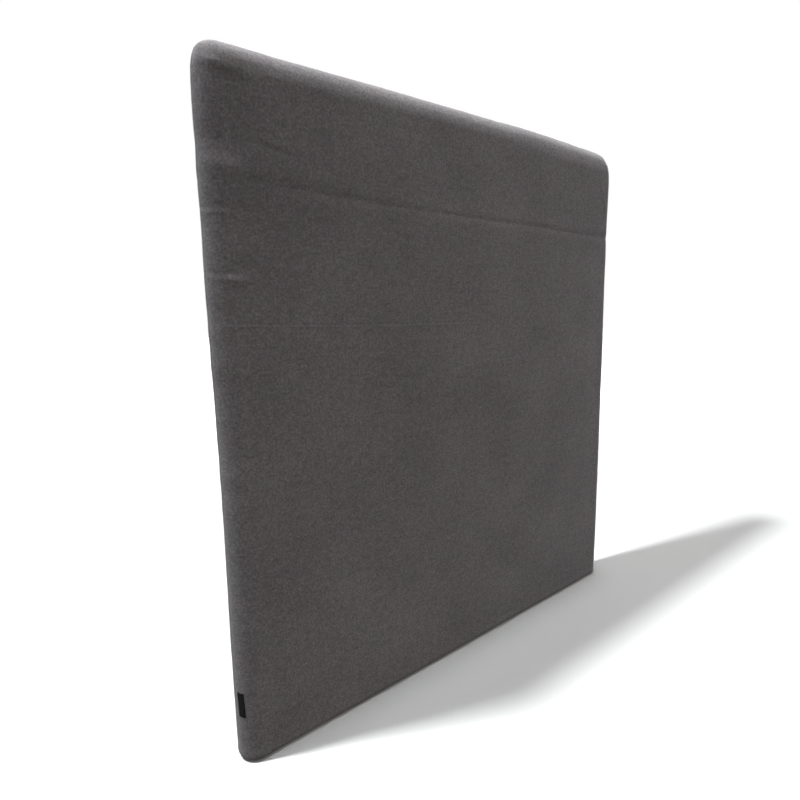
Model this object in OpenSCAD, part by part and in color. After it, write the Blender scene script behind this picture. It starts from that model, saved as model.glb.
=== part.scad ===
// Free-standing upholstered partition wall: timber frame, absorbing core,
// foam pads with half-round edge foams, and a zipped fabric cover.
// Origin: centre of the underside. +Z up, the front looks along -Y.

/* [Panel] */
// Overall width over the cover
panel_w = 1400; // [900:10:1800]
// Overall height over the cover
panel_h = 1500; // [1000:10:1900]
// Overall thickness over the cover
panel_t = 80; // [78:1:110]
// Radius of the frame's top corners under the edge foam
frame_corner_r = 10; // [6:1:30]
// Radius of the lower edge all round the base
base_edge_r = 12; // [5:0.5:12.5]

/* [Cover] */
// Thickness of the cover fabric
fabric_t = 1.5; // [1.2:0.1:2]
// Width of the joint left for the edge seam
seam_w = 1.6; // [1.6:0.1:2.4]

/* [Frame] */
// Depth of the timber, front to back
frame_d = 45; // [38:1:50]
// Width of the stiles, the top rail and the mid rail
stile_w = 45; // [42:1:60]
// Height of the bottom rail
bottom_rail_h = 70; // [60:1:100]
// Height of the middle of the mid rail
mid_rail_z = 780; // [450:10:850]
// Thickness of the base board
base_board_t = 15; // [13:1:22]
// Diameter of the frame dowels
dowel_d = 10; // [8:1:10]
// Length of the frame dowels
dowel_l = 60; // [40:2:70]
// Length of the frame screws
frame_screw_l = 100; // [80:5:110]
// Length of the base screws
base_screw_l = 40; // [30:5:40]

/* [Feet] */
// Distance of each foot insert from the nearer side of the panel
foot_inset = 220; // [170:5:300]
// Bore of the foot inserts: 6.8 is the core of an M8 thread
insert_bore_d = 6.8; // [5:0.1:6.8]
// Length of the foot inserts
insert_l = 25; // [18:1:30]

/* [Zip] */
// Height of the zip above the floor
zip_z = 62; // [54:1:90]
// Distance from each side of the panel to the end of the zip
zip_margin = 95; // [85:5:200]
// Length of the pull's tab
pull_l = 30; // [18:1:40]
// How far the zip is opened, as a share of its travel
zip_open = 0; // [0:0.01:1]
// Swing of the pull on its slider, in degrees
pull_swing = 0; // [0:1:170]

/* [Label] */
// Width of the woven label round the side
label_w = 18; // [12:1:25]
// Height of the woven label
label_h = 58; // [30:1:80]
// Height of the label's lower edge above the floor
label_z = 113; // [80:1:400]
// Distance of the label from the side seam, round the side
label_from = 8; // [3:1:30]

/* [Hidden] */
$fn = 96;
R = panel_t / 2;              // half-round of the cover
Rf = R - fabric_t;            // inside of the cover
Rr = Rf - 0.5;                // edge foams, just clear of the cover
ri = frame_corner_r;
xs = panel_w / 2 - R;         // outside of the stiles
zt = panel_h - R;             // top of the top rail
xc = xs - ri;                 // axis of the rounded corners
zc = zt - ri;
er = base_edge_r;
eri = er - fabric_t;
zb = fabric_t + base_board_t; // top of the base board
fd = frame_d / 2;
pad_t = Rf - fd;
xr = xs - stile_w;            // ends of the rails
zm = mid_rail_z;
sh = seam_w / 2;
xf = panel_w / 2 - foot_inset;
xz = panel_w / 2 - zip_margin;
zz = zip_z;
slit = 4.7;                   // half height of the opening round the zip
xsl = xz - 10;                // slider at rest, zip closed
zip_travel = 2 * xz - 20.8;
rail_z = [zb + bottom_rail_h / 2, zm, zt - stile_w / 2];
rail_screw_x = [-xf / 2, 0, xf / 2];
stile_screw_x = xs - stile_w / 2;
base_screw_x = concat([-stile_screw_x], rail_screw_x, [stile_screw_x]);
pilot_l = base_screw_l - base_board_t + 2;
coil_h = fabric_t + 0.4;
gap = 0.5;                    // half of the gap in which the slider's post runs

charcoal = [0.13, 0.125, 0.125];
pine = [0.80, 0.64, 0.42];
ply = [0.70, 0.55, 0.36];
foam = [0.86, 0.84, 0.74];
felt = [0.55, 0.57, 0.58];
black = [0.03, 0.03, 0.032];
steel = [0.62, 0.62, 0.63];

// ---- helpers ----

// a flat outline in (Y, Z), drawn out along X
module along_x(x0, x1) {
    translate([x0, 0, 0]) rotate([90, 0, 90]) linear_extrude(x1 - x0) children();
}

// a quarter turn about the axis of the left top corner, in (radius, towards the front)
module left_corner() {
    translate([-xc, 0, zc]) rotate([90, 0, 0]) rotate([0, 0, 90]) rotate_extrude(angle = 90) children();
}

// a quarter turn round the front half of the left side, in (radius, height)
module left_side() {
    translate([-xs, 0, 0]) rotate([0, 0, 180]) rotate_extrude(angle = 90) children();
}

module both() {
    children();
    mirror([1, 0, 0]) children();
}

module pie(r) {
    intersection() { circle(r = r); square(r + 1); }
}

module quarter_ring(r1, r2) {
    difference() { pie(r2); circle(r = r1); }
}

// the cover over one face, half of each side and half of the top, above z0
module half_skin(z0) {
    translate([-xs, -R, z0]) cube([2 * xs, fabric_t, zc - z0]);
    translate([-xc, -R, zc]) cube([2 * xc, fabric_t, ri]);
    along_x(-xc, xc) translate([0, zt]) mirror([1, 0]) quarter_ring(Rf, R);
    both() {
        left_side() translate([Rf, z0]) square([fabric_t, zc - z0]);
        left_corner() {
            translate([ri, 0]) quarter_ring(Rf, R);
            translate([0, Rf]) square([ri, fabric_t]);
        }
    }
}

// the cover round the lower edge of one face
module half_edge() {
    along_x(-xs, xs) translate([-(R - er), er]) rotate(180) quarter_ring(eri, er);
    both() left_side() translate([R - er, er]) rotate(-90) quarter_ring(eri, er);
}

module seam_joint() {
    translate([-panel_w, -sh, -1]) cube([2 * panel_w, 2 * sh, panel_h + 2]);
}

// a slab with the outline of the frame, from y0 to y0 + t
module frame_slab(y0, t) {
    translate([-xs, y0, zb]) cube([2 * xs, t, zc - zb]);
    translate([-xc, y0, zc]) cube([2 * xc, t, ri]);
    both() left_corner() translate([0, -y0 - t]) square([ri, t]);
}

module rod_x(x0, l, r) {
    translate([x0, 0, 0]) rotate([0, 90, 0]) cylinder(r = r, h = l);
}

// ---- cover ----

module front_cover() color(charcoal) {
    difference() {
        union() { half_skin(er); half_edge(); }
        seam_joint();
    }
}

module back_cover() color(charcoal) {
    difference() {
        mirror([0, 1, 0]) half_skin(zz + 0.1);
        seam_joint();
        translate([-xz - 1, 1, zz - 1]) cube([2 * xz + 2, R, slit + 1]);
    }
}

module rear_hem() color(charcoal) {
    difference() {
        mirror([0, 1, 0]) {
            half_edge();
            translate([-xs, -R, er]) cube([2 * xs, fabric_t, zz - 0.1 - er]);
            both() left_side() translate([Rf, er]) square([fabric_t, zz - 0.1 - er]);
        }
        seam_joint();
        translate([-xz - 1, 1, zz - slit]) cube([2 * xz + 2, R, slit + 1]);
    }
}

module base_panel() color(black) {
    rb = R - er - 0.3;
    difference() {
        union() {
            translate([-xs, -rb, 0]) cube([2 * xs, 2 * rb, fabric_t]);
            both() translate([-xs, 0, 0]) rotate([0, 0, 90]) rotate_extrude(angle = 180) square([rb, fabric_t]);
        }
        for (s = [-1, 1]) translate([s * xf, 0, -1]) cylinder(r = 10.1, h = fabric_t + 2);
    }
}

module edge_seam() color(black) {
    rs = R - 0.75;
    both() {
        translate([-xs - rs, 0, er + 2]) cylinder(r = 0.7, h = zc - er - 2, $fn = 24);
        left_corner() translate([ri + rs, 0]) circle(r = 0.7, $fn = 24);
    }
    translate([0, 0, zt + rs]) rod_x(-xc, 2 * xc, 0.7, $fn = 24);
}

module side_label() color(black) {
    translate([-xs, 0, 0]) rotate([0, 0, 180 + label_from / R * 180 / PI]) rotate_extrude(angle = label_w / R * 180 / PI)
        translate([R + 0.05, label_z]) square([0.9, label_h]);
}

module base_eyelets() color(steel) {
    for (s = [-1, 1]) translate([s * xf, 0, 0.1]) difference() {
        cylinder(r = 10, h = fabric_t - 0.1);
        translate([0, 0, -1]) cylinder(r = 6.2, h = fabric_t + 2);
    }
}

// ---- zip ----

module zip_tape_upper() color(black) {
    translate([-xz - 8, R - fabric_t - 0.65, zz + gap]) cube([2 * xz + 16, 0.6, 15 - gap]);
}

module zip_tape_lower() color(black) {
    translate([-xz - 8, R - fabric_t - 0.65, zz - 15]) cube([2 * xz + 16, 0.6, 15 - gap]);
}

module zip_coil_upper() color(black) {
    translate([-xz + 4, R - fabric_t, zz + gap]) cube([2 * xz - 7.5, coil_h, 3 - gap]);
}

module zip_coil_lower() color(black) {
    translate([-xz + 4, R - fabric_t, zz - 3]) cube([2 * xz - 7.5, coil_h, 3 - gap]);
}

module zip_stops() color(steel) {
    translate([xz - 3.4, R - fabric_t, zz + gap]) cube([2.2, coil_h, 3 - gap]);
    translate([xz - 3.4, R - fabric_t, zz - 3]) cube([2.2, coil_h, 3 - gap]);
    translate([-xz + 0.6, R - fabric_t, zz - 3.1]) cube([3.3, coil_h, 6.2]);
}

// the slider about its own middle: X along the zip, Y out of the cover
module slider_shape() {
    top = R + 0.7;
    low = R - fabric_t - 2.1;
    for (y = [low, top]) translate([0, y + 1.2, 0]) rotate([90, 0, 0]) linear_extrude(1.2)
        polygon([[-6.5, -4.3], [1, -4.4], [4, -5.2], [6.4, -4.2], [6.4, 4.2], [4, 5.2], [1, 4.4], [-6.5, 4.3]]);
    for (s = [-1, 1]) translate([-6.5, R - 1.2, s * 3.75 - 0.4]) cube([7.5, 2.2, 0.8]);
    translate([2.5, low + 0.6, 0.15 - gap]) cube([3, top - low, 2 * gap - 0.3]);
    for (x = [-4.2, 3]) translate([x, top + 1, -1.2]) cube([1.2, 3.2, 2.4]);
    translate([-4.2, top + 3.2, -1.2]) cube([8.4, 1.2, 2.4]);
}

module pull_shape() {
    translate([0, 0, -2.8]) cylinder(r = 0.7, h = 5.6, $fn = 32);
    for (s = [-1, 1]) translate([-7, -0.7, s * 2.2 - 0.6]) cube([7, 1.4, 1.2]);
    translate([0, 0.7, 0]) rotate([90, 0, 0]) difference() {
        union() {
            translate([-pull_l, -3.6, 0]) cube([pull_l - 6, 7.2, 1.4]);
            translate([-pull_l, 0, 0]) rotate([0, 0, 90]) rotate_extrude(angle = 180) square([3.6, 1.4]);
        }
        translate([-pull_l, 0, -1]) cylinder(r = 1.6, h = 4);
    }
}

module zip_slider() color(steel) {
    translate([xsl - zip_open * zip_travel, 0, zz]) slider_shape();
}

module zip_pull() color(steel) {
    translate([xsl - zip_open * zip_travel, R + 2.9, zz]) rotate([0, 0, -pull_swing]) pull_shape();
}

// ---- frame ----

// bores for dowels and screws at the rail ends, in the left stile and rails
module left_bores() {
    for (z = rail_z) translate([0, 0, z]) {
        for (y = [-12, 12]) translate([0, y, 0]) rod_x(-xr - dowel_l / 2 - 1, dowel_l + 2, dowel_d / 2 + 0.1);
        rod_x(-xs - 1, frame_screw_l + 3, 3.2);
        translate([-xs, 0, 0]) rotate([0, 90, 0]) cylinder(r1 = 6.4, r2 = 3.2, h = 4);
    }
}

module left_stile() color(pine) {
    difference() {
        union() {
            translate([-xs, -fd, zb]) cube([stile_w, frame_d, zc - zb]);
            translate([-xc, -fd, zc]) cube([stile_w - ri, frame_d, ri]);
            left_corner() translate([0, -fd]) square([ri, frame_d]);
        }
        left_bores();
        translate([-stile_screw_x, 0, zb - 1]) cylinder(r = 2.6, h = pilot_l);
    }
}

module right_stile() color(pine) mirror([1, 0, 0]) left_stile();

module rail(z0, h) {
    difference() {
        translate([-xr, -fd, z0]) cube([2 * xr, frame_d, h]);
        both() left_bores();
    }
}

module top_rail() color(pine) rail(zt - stile_w, stile_w);

module mid_rail() color(pine) rail(zm - stile_w / 2, stile_w);

module bottom_rail() color(pine) difference() {
    rail(zb, bottom_rail_h);
    for (s = [-1, 1]) translate([s * xf, 0, zb - 1]) cylinder(r = 6.1, h = 41);
    for (x = rail_screw_x) translate([x, 0, zb - 1]) cylinder(r = 2.6, h = pilot_l);
}

module frame_dowels() color(ply) {
    both() for (z = rail_z) for (y = [-12, 12])
        translate([0, y, z]) rod_x(-xr - dowel_l / 2, dowel_l, dowel_d / 2);
}

module frame_screws() color(steel) {
    both() for (z = rail_z) translate([-xs, 0, z]) rotate([0, 90, 0]) {
        translate([0, 0, 0.3]) cylinder(r1 = 6, r2 = 3, h = 3.7);
        translate([0, 0, 3.9]) cylinder(r = 3, h = frame_screw_l - 3.9);
    }
}

// half of the base board's cross-section, with a rounded lower edge
module board_outline() {
    rb = eri + 1;
    translate([0, fabric_t]) square([Rr - rb, base_board_t]);
    translate([Rr - rb, fabric_t + rb]) square([rb, base_board_t - rb]);
    translate([Rr - rb, fabric_t + rb]) rotate(-90) pie(rb);
}

module base_board() color(ply) {
    difference() {
        union() {
            along_x(-xs, xs) { board_outline(); mirror([1, 0]) board_outline(); }
            both() translate([-xs, 0, 0]) rotate([0, 0, 90]) rotate_extrude(angle = 180) board_outline();
        }
        for (s = [-1, 1]) translate([s * xf, 0, 0]) {
            cylinder(r = 6.1, h = zb + 1);
            cylinder(r = 10.2, h = fabric_t + 1.6);
        }
        for (x = base_screw_x) translate([x, 0, 0]) {
            cylinder(r = 2.7, h = zb + 1);
            translate([0, 0, fabric_t]) cylinder(r1 = 5.4, r2 = 2.7, h = 3.2);
            cylinder(r = 5.4, h = fabric_t);
        }
    }
}

module base_screws() color(steel) {
    for (x = base_screw_x) translate([x, 0, fabric_t]) {
        translate([0, 0, 0.3]) cylinder(r1 = 4.9, r2 = 2.5, h = 2.7);
        translate([0, 0, 2.9]) cylinder(r = 2.5, h = base_screw_l - 4.9);
    }
}

module foot_inserts() color(steel) {
    // the flange sits in the board, and the neck below it comes through the eyelet
    for (s = [-1, 1]) translate([s * xf, 0, 0.2]) difference() {
        union() {
            cylinder(r = 6, h = insert_l);
            translate([0, 0, fabric_t - 0.2]) cylinder(r = 10, h = 1.5);
        }
        translate([0, 0, -1]) cylinder(r = insert_bore_d / 2, h = insert_l + 2);
    }
}

// ---- core and foam ----

module upper_core() color(felt) {
    z0 = zm + stile_w / 2;
    translate([-xr, -fd, z0]) cube([2 * xr, frame_d, zt - stile_w - z0]);
}

module lower_core() color(felt) {
    z0 = zb + bottom_rail_h;
    translate([-xr, -fd, z0]) cube([2 * xr, frame_d, zm - stile_w / 2 - z0]);
}

module front_pad() color(foam) frame_slab(-Rf, pad_t);

module back_pad() color(foam) difference() {
    frame_slab(fd, pad_t);
    translate([-xz - 9, R - fabric_t - 2.9, zz - 16]) cube([2 * xz + 18, 10, 32]);
}

module left_edge_foam() color(foam) {
    translate([-xs, 0, zb]) rotate([0, 0, 90]) rotate_extrude(angle = 180) square([Rr, zc - zb]);
}

module right_edge_foam() color(foam) mirror([1, 0, 0]) left_edge_foam();

module top_edge_foam() color(foam) {
    along_x(-xc, xc) translate([0, zt]) { pie(Rr); mirror([1, 0]) pie(Rr); }
}

module left_corner_foam() color(foam) {
    left_corner() difference() {
        translate([ri, 0]) { pie(Rr); mirror([0, 1]) pie(Rr); }
        translate([0, -R]) square([ri + 0.4, 2 * R]);
    }
}

module right_corner_foam() color(foam) mirror([1, 0, 0]) left_corner_foam();

// ---- what is drawn ----

front_cover();
back_cover();
rear_hem();
base_panel();
edge_seam();
side_label();
base_eyelets();
zip_tape_upper();
zip_tape_lower();
zip_coil_upper();
zip_coil_lower();
zip_stops();
zip_slider();
zip_pull();
left_stile();
right_stile();
top_rail();
mid_rail();
bottom_rail();
frame_dowels();
frame_screws();
base_board();
base_screws();
foot_inserts();
upper_core();
lower_core();
front_pad();
back_pad();
left_edge_foam();
right_edge_foam();
top_edge_foam();
left_corner_foam();
right_corner_foam();
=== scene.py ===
"""Looks of a free-standing upholstered partition wall: felt cover, zip, label, stitching, inner frame."""
import math

import bmesh
import bpy
import numpy as np
from mathutils import Matrix, Vector


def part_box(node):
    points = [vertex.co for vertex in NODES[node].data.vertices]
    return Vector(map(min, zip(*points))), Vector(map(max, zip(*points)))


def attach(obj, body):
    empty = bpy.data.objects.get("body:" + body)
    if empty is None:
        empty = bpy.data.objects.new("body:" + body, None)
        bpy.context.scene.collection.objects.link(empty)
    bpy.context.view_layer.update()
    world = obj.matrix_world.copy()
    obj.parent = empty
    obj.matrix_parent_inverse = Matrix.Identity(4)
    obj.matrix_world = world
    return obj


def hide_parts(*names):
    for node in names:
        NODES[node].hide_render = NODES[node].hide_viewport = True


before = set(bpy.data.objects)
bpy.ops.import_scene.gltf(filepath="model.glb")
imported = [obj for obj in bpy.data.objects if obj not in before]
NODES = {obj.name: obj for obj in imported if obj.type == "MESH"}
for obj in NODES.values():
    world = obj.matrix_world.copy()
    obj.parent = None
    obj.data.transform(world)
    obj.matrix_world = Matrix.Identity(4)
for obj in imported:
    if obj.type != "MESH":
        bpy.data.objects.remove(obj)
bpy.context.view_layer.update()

MM = 0.001


# ------------------------------------------------------------------ sizes, in millimetres, from the CAD boxes
def node_box(name):
    lo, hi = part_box(name)
    return np.array(lo) * 1000.0, np.array(hi) * 1000.0


f_lo, f_hi = node_box("front_cover")
R = float(-f_lo[1])  # half-round of the sides and the top
HW = float(f_hi[0])  # half width
HT = float(f_hi[2])  # height
RI = 10.0  # corner radius of the frame inside the half-round
ER = 12.0  # radius of the base edge
XS, ZT = HW - R, HT - R
XC, ZC = XS - RI, ZT - RI
L = RI + R * math.pi / 2  # arc from the corner axis to the seam
U1, V1 = XC + L, ZC + L  # arc lengths at the seam
V0 = ER - ER * math.pi / 2  # arc length where the base edge has turned under
c_lo, c_hi = node_box("zip_coil_upper")
ZZ = (c_hi[2] + node_box("zip_coil_lower")[0][2]) / 2  # height of the zip
ZIP_X = float(c_hi[0])
t_lo, t_hi = node_box("zip_tape_upper")
XF = float(node_box("base_eyelets")[1][0]) - 10.0  # foot inserts


# ------------------------------------------------------------------ small numeric tools
def smooth(a, b, x):
    t = np.clip((np.asarray(x, float) - a) / (b - a), 0.0, 1.0)
    return t * t * (3 - 2 * t)


def bell(x, w):
    return np.exp(-((np.asarray(x, float) / w) ** 2))


def noise(u, v, seed):
    """Smooth value noise in -1..1; one lattice step per unit."""
    rng = np.random.default_rng(seed)
    table = rng.uniform(-1, 1, (64, 64))
    u, v = np.broadcast_arrays(np.asarray(u, float), np.asarray(v, float))
    iu, iv = np.floor(u).astype(int), np.floor(v).astype(int)
    fu, fv = u - iu, v - iv
    fu = fu * fu * fu * (fu * (6 * fu - 15) + 10)
    fv = fv * fv * fv * (fv * (6 * fv - 15) + 10)
    g = lambda a, b: table[a % 64, b % 64]
    return (g(iu, iv) * (1 - fu) + g(iu + 1, iv) * fu) * (1 - fv) + (
        g(iu, iv + 1) * (1 - fu) + g(iu + 1, iv + 1) * fu
    ) * fv


def ladder(start, *steps):
    """Values from start, through (end, step) pairs, with about that spacing."""
    out = [start]
    for end, step in steps:
        n = max(1, int(math.ceil((end - out[-1]) / step - 1e-6)))
        out.extend(np.linspace(out[-1], end, n + 1)[1:])
    return np.array(out)


# ------------------------------------------------------------------ the smooth cover
def cover(u, v, sy):
    """Points and outward normals of the smooth cover at arc lengths u across and v up; sy is -1 in front, +1 behind."""
    u, v = np.broadcast_arrays(np.asarray(u, float), np.asarray(v, float))
    sg = np.where(u < 0, -1.0, 1.0)
    rl = np.maximum(np.abs(u) - XC, 0)
    rt = np.maximum(v - ZC, 0)
    corner = (rl > 0) & (rt > 0)
    a, b = np.maximum(rl, 1e-9), np.maximum(rt, 1e-9)
    r = np.where(corner, np.maximum(rl, rt), rl + rt)
    phi = np.where(corner, np.where(a >= b, math.pi / 4 * b / a, math.pi / 2 - math.pi / 4 * a / b), np.where(rt > 0, math.pi / 2, 0.0))
    th = np.clip((r - RI) / R, 0, None)
    bq = np.clip((ER - v) / ER, 0, math.pi / 2)
    under = np.maximum(V0 - v, 0)
    re = R - ER * (1 - np.cos(bq)) - under
    d = np.where(r < RI, r, RI + re * np.sin(th))
    x = np.where(np.abs(u) <= XC, u, sg * (XC + d * np.cos(phi)))
    y = sy * re * np.cos(th)
    z = np.where(rt > 0, ZC + d * np.sin(phi), np.where(v < ER, ER * (1 - np.sin(bq)), v))
    cb = np.cos(bq)
    n = np.stack([sg * np.sin(th) * np.cos(phi) * cb, sy * np.cos(th) * cb, np.sin(th) * np.sin(phi) - np.sin(bq)], -1)
    return np.stack([x, y, z], -1), n


def seam_distance(u, v):
    """Arc length to the side or top seam."""
    rl = np.maximum(np.abs(u) - XC, 0)
    rt = np.maximum(v - ZC, 0)
    return L - np.maximum(rl, rt)


# creases of the front, as height along the width
RUCK_U = [-724, -634, -560, -481, -400, -324, -267, -106, 0, 115, 280, 405, 540, 657, 724]
RUCK_Z = [1247, 1250, 1245, 1240, 1237, 1236, 1231, 1230, 1229, 1226, 1225, 1222, 1219, 1217, 1214]
FOLD_U = [-724, -685, -391, -178, 128, 420, 591, 724]
FOLD_Z = [972, 971, 960, 957, 953, 946, 940, 936]
RUCK_V, FOLD_V = 1236.0, 955.0


def ruck_z(u):
    return np.interp(u, RUCK_U, RUCK_Z)


def fold_z(u):
    return np.interp(u, FOLD_U, FOLD_Z)


def settle(u, v):
    """How the filled cover has settled along its sides: fuller low down, drawn in under the top-left corner."""
    left = np.interp(v, [0, 110, 200, 300, 350, 405, 460, 520, 600, 790, 900, 1060, 1175, 1235, 1290, 1500], [4.3, 4.2, 3.5, 3.2, 2.4, 1.5, 0.8, 0.1, -0.6, -0.6, 0.7, 0.9, 0.1, 0.4, 0.0, -0.2])
    right = np.interp(v, [0, 200, 460, 520, 680, 900, 1000, 1170, 1215, 1290, 1345, 1395, 1450], [2.0, 2.8, 2.8, 2.3, 1.6, 1.6, 0.8, 0.6, -0.7, -0.7, -0.2, 0.6, -0.6])
    k = 1 - smooth(24, 105, U1 - np.abs(u))
    fade = 1 - smooth(1440, 1500, v)
    side = np.where(u < 0, left * fade - 2.6 * bell(v - 1462, 26), right * fade)
    return side * k * smooth(1, 25, v - V0)


def crown(u, v, foot):
    """The faces swell a little and lean back towards the top roll, further on the right; the top-left corner stands full."""
    d = 2.7 * smooth(0, 170, U1 - np.abs(u)) * foot
    a = smooth(70, 340, u)
    lean = (1 - a) * (4.3 * smooth(1440, 1476, v) + 2.4 * smooth(1452, 1499, v))
    lean = lean + a * (6.2 * smooth(1420, 1486, v) + 1.7 * smooth(1446, 1470, v) + 3.4 * smooth(1455, 1499, v))
    return d - lean * smooth(-655, -530, u) * (0.35 + 0.65 * smooth(0, 120, U1 - u))


LIFT_X = [-724, -640, -600, -560, -490, -380, -320, -250, -120, 0, 140, 230, 300, 400, 465, 530, 595, 640, 724]
LIFT_Z = [-1.3, -1.3, -0.1, 3.4, 3.7, 4.4, 5.4, 5.4, 5.4, 5.4, 5.8, 9.3, 10.8, 9.1, 7.0, 4.7, 3.3, 2.6, 1.9]


def sagged(p):
    """Moves points in the plane of the wall: the top edge has settled unevenly, and its right-hand corner is pressed in."""
    x, z = p[..., 0] - XC, p[..., 2] - ZC
    give = lambda a: 7.1 * np.exp(-(((a - 22) / np.where(a < 22, 30.0, 22.0)) ** 2))
    q = np.array(p, float)
    q[..., 0] -= give(z) * smooth(-130, 0, x) + 3.6 * bell(z - 42, 11) * smooth(-130, 0, -p[..., 0] - XC)
    q[..., 2] += (np.interp(p[..., 0], LIFT_X, LIFT_Z) - give(x)) * smooth(-130, 0, z)
    return q


def groove(dz, w, depth, slit):
    """A soft crease: the roll above faces down, the ledge below faces up, and a finer line runs along its bottom."""
    return -depth * bell(dz - 1.0, w) + 0.45 * depth * (bell(dz - 2.6 * w, 1.7 * w) + bell(dz + 2.6 * w, 1.9 * w)) - slit * bell(dz - 1.4, 1.5)


def tuck(dz, w, height):
    """A lapped crease: a pressed line over a small standing edge."""
    return height * (bell(dz + 0.75 * w, w) - bell(dz - 0.95 * w, 1.15 * w))


def front_field(u, v):
    """Outward offset of the front cloth: crown, creases, slack and seam."""
    ds = seam_distance(u, v)
    # slack of the cloth: broad swells, edge ripples, pulls along the base
    d = 0.42 * noise(u / 270 + 3.1, v / 230 + 1.7, 11) + 0.15 * noise(u / 84, v / 71, 12)
    left, right = np.exp(-((u + U1) / 95) ** 2), np.exp(-((u - U1) / 95) ** 2)
    d = d + 0.42 * left * noise(u / 88, v / 33, 13) + 0.42 * right * noise(u / 88, v / 41, 14)
    d = d + 0.4 * noise(u / 46, v / 80, 15) * smooth(1395, 1480, v) + 0.2 * noise(u / 19, v / 40, 16) * smooth(1450, 1500, v)
    d = d + 0.3 * noise(u / 62, v / 170, 17) * (1 - smooth(10, 210, v))
    # the ruck across the upper third
    m = np.interp(u, [-724, -660, -600, -480, -330, -250, -160, -60, 20, 90, 430, 560, 640, 724], [0.05, 0.12, 0.3, 0.42, 0.42, 0.26, 0.18, 0.22, 0.33, 0.36, 0.37, 0.37, 0.36, 0.34])
    line = np.interp(u, [-724, -250, -120, -20, 60, 560, 724], [0.0, 0.0, 0.04, 0.06, 0.07, 0.06, 0.05])
    w = np.interp(u, [-724, -560, -400, -250, -50, 90, 724], [10, 11, 9, 7, 6.2, 7.6, 8.0])
    dz = v - ruck_z(u) + 0.9 * noise(u / 37, 0.5, 21) + 0.35 * noise(u / 11, 0.5, 22)
    d = d + groove(dz, w, m, line)
    # slack carried above the ruck at the right side
    d = d + 1.0 * bell(u - 690, 50) * smooth(0, 26, v - ruck_z(u)) * (1 - smooth(1385, 1470, v))
    # the long pressed fold lower down
    m = np.interp(u, [-724, -700, -400, -180, 60, 160, 420, 620, 724], [0.5, 0.9, 1.0, 0.85, 1.0, 0.55, 0.4, 0.5, 0.4])
    d = d + m * tuck(v - fold_z(u) + 0.5 * noise(u / 45, 0.5, 23), 2.6, 0.12)
    # short creases drawn in from the left side
    reach = 1 - smooth(-676, -640, u)
    d = d + reach * tuck(v - 1190 + 0.05 * (u + 690) + 0.8 * noise(u / 20, 0.5, 24), 6.0, 0.34)
    reach = 1 - smooth(-664, -610, u)
    d = d + reach * tuck(v - 1066 + 0.09 * (u + 690) + 0.9 * noise(u / 20, 0.5, 25), 5.8, 0.36)
    d = d + 0.8 * bell(u + 658, 13) * bell(v - 1058, 7) - 0.5 * bell(u + 650, 30) * bell(v - 1082, 11)
    # swelling between the corner and the ruck, and the slanting tuck beside it
    d = d + (1.6 * bell(u + 664, 44) + 0.5 * bell(u + 705, 26)) * (bell(v - 1268, np.where(v < 1268, 29.0, 18.0)) - 0.35 * bell(v - 1313, 14))
    s = (u + 623) / 77.0
    line = 1324 - 15 * s - 7 * np.maximum(s - 0.9, 0) ** 2
    d = d + smooth(-0.35, 0.25, s) * (1 - smooth(1.0, 1.75, s)) * groove(v - line, 6.5, 0.42, 0.0)
    d = d - 0.8 * bell(u + 615, 58) * bell(v - 1352, 46)
    # the top-left corner: the roll stands out over a pressed line
    d = d + 0.8 * bell(u - 655, 34) * bell(v - 1455, 34)
    reach = 1 - smooth(-668, -580, u)
    line = np.interp(u, [-724, -700, -664, -636, -595, -560], [1456, 1450, 1440, 1436, 1428, 1421])
    d = d + reach * (2.5 * smooth(-14, 15, v - line) - 1.45 * smooth(1444, 1477, v) - 0.65 * smooth(1470, 1500, v)) * smooth(-4, 26, ds) * (0.4 + 0.6 * smooth(-716, -668, u))
    # right-hand corner: short slanting pull
    s = (v - 1383) / -85.0
    d = d + smooth(-0.2, 0.1, s) * (1 - smooth(0.9, 1.3, s)) * (-0.4 * bell(u - 610 - 36 * s, 8) + 0.5 * bell(u - 626 - 36 * s, 10))
    return edge_turns(u, v, ds, d, crown(u, v, smooth(-4, 130, v)))


def edge_turns(u, v, ds, d, form):
    """Holds the cloth clear of the foam, turns its edges in at the seams and adds the settled form."""
    d = np.maximum(d, -1.0)
    near = bell(ds, 2.0)
    pucker = 0.24 * noise((np.where(v > ZC, u, v)) / 6.5, 0.5, 31) * bell(ds - 3, 4)
    d = d * (1 - 0.8 * near) + pucker - 0.95 * bell(ds, 1.25) - 0.25 * bell(ds, 4.5)
    low = v - V0
    return d * smooth(-2, 9, low) - 1.0 * bell(np.maximum(low, 0), 1.3) + settle(u, v) + form


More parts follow.
